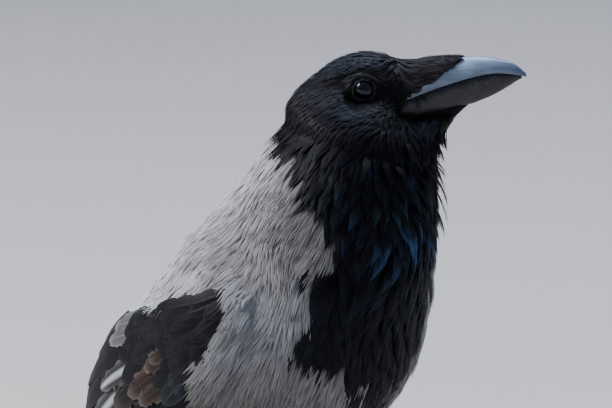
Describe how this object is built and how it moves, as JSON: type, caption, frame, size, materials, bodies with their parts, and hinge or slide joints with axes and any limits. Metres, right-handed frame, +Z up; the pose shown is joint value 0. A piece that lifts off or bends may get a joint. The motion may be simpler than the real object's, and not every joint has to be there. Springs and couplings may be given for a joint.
{
  "type": "hooded crow",
  "caption": "Life-size standing crow with a black hood, wings and tail and an ash-grey body, looking round to its left with the bill raised.",
  "frame": {"origin": "on the floor under the middle of the bird's bounding box", "axes": "+X the way the trunk and feet face, +Y the bird's left, +Z up; the head is turned 45 degrees to the bird's left and 12 degrees up"},
  "size_m": [0.3294, 0.1368, 0.3595],
  "materials": {
    "black_plumage": "glossy black feather vanes with a faint blue sheen",
    "grey_plumage": "soft matt ash-grey feathers with darker shafts",
    "bill_horn": "satin black horn with fine growth lines",
    "leg_skin": "satin black scaled skin",
    "claw_horn": "smooth black horn",
    "eye_dark": "wet clear cornea over a dark brown iris"
  },
  "bodies": {
    "root": {"head": "black_plumage", "neck": "grey_plumage", "trunk": "grey_plumage", "bill_upper": "bill_horn", "bill_lower": "bill_horn", "tail": "black_plumage", "eye_left": "eye_dark", "wing_left": "black_plumage", "primaries_left": "black_plumage", "thigh_left": "black_plumage", "shank_left": "leg_skin", "toe_inner_left": "leg_skin", "claw_inner_left": "claw_horn", "toe_middle_left": "leg_skin", "claw_middle_left": "claw_horn", "toe_outer_left": "leg_skin", "claw_outer_left": "claw_horn", "toe_hind_left": "leg_skin", "claw_hind_left": "claw_horn", "eye_right": "eye_dark", "wing_right": "black_plumage", "primaries_right": "black_plumage", "thigh_right": "black_plumage", "shank_right": "leg_skin", "toe_inner_right": "leg_skin", "claw_inner_right": "claw_horn", "toe_middle_right": "leg_skin", "claw_middle_right": "claw_horn", "toe_outer_right": "leg_skin", "claw_outer_right": "claw_horn", "toe_hind_right": "leg_skin", "claw_hind_right": "claw_horn"}
  },
  "joints": []
}
